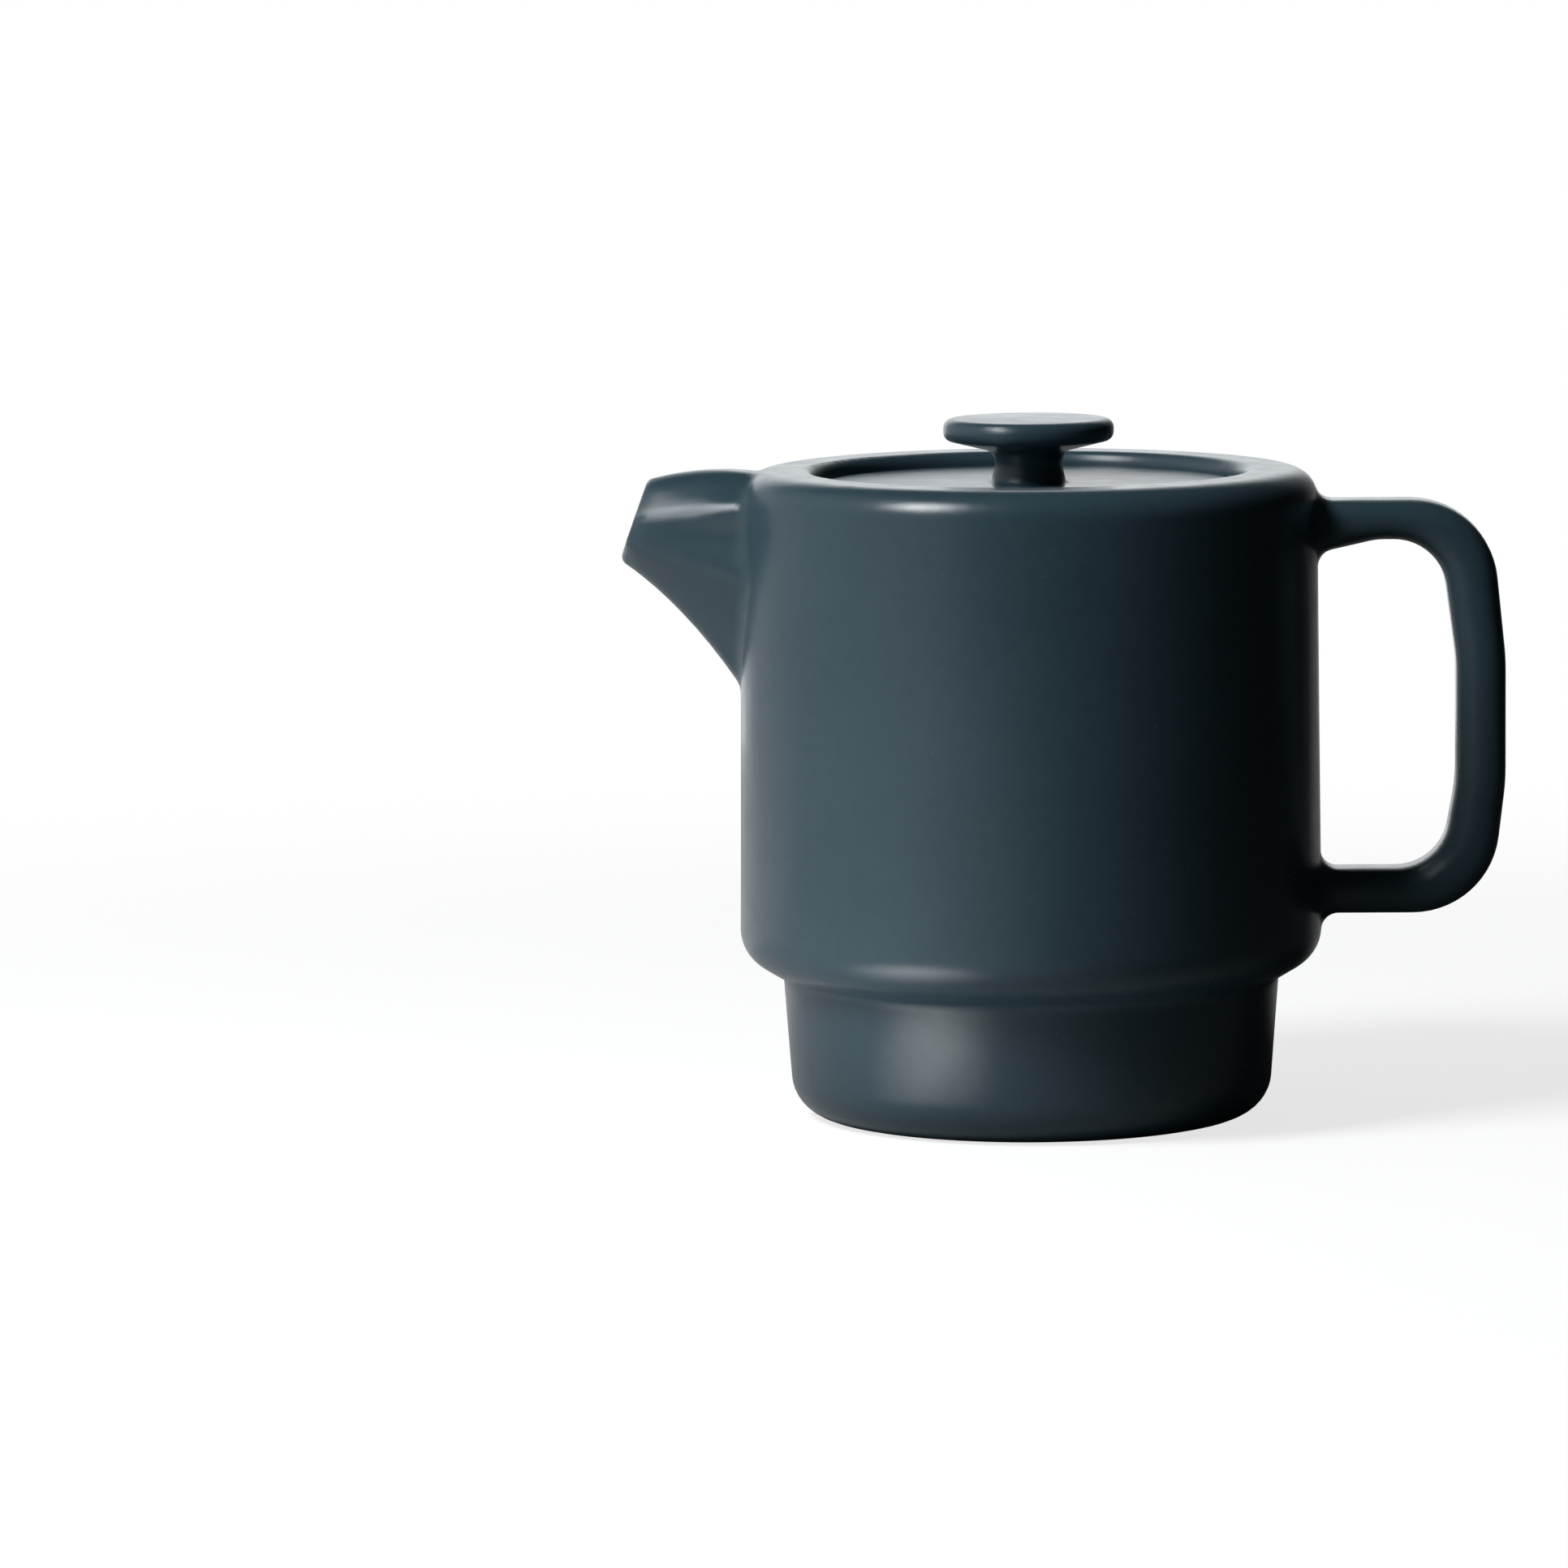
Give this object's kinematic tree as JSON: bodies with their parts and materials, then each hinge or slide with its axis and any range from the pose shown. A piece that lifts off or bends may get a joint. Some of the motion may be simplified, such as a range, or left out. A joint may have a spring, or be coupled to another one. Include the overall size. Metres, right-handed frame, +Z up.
{
  "type": "teapot",
  "caption": "Straight-sided stoneware teapot on a narrower foot, with a short ridged pouring spout, a squared loop handle, and a loose flat lid with a disc knob.",
  "frame": {"origin": "centre of the foot ring, on the surface that the teapot stands on", "axes": "+Z up along the axis of the drum, +X towards the handle, so the spout points to -X, and +Y away from the camera of the picture"},
  "size_m": [0.1526, 0.1008, 0.1213],
  "materials": {
    "pot_glaze": "slate blue gloss glaze over stoneware",
    "lid_glaze": "slate blue gloss glaze over stoneware"
  },
  "bodies": {
    "root": {"teapot_body": "pot_glaze", "teapot_lid": "lid_glaze"}
  },
  "joints": []
}
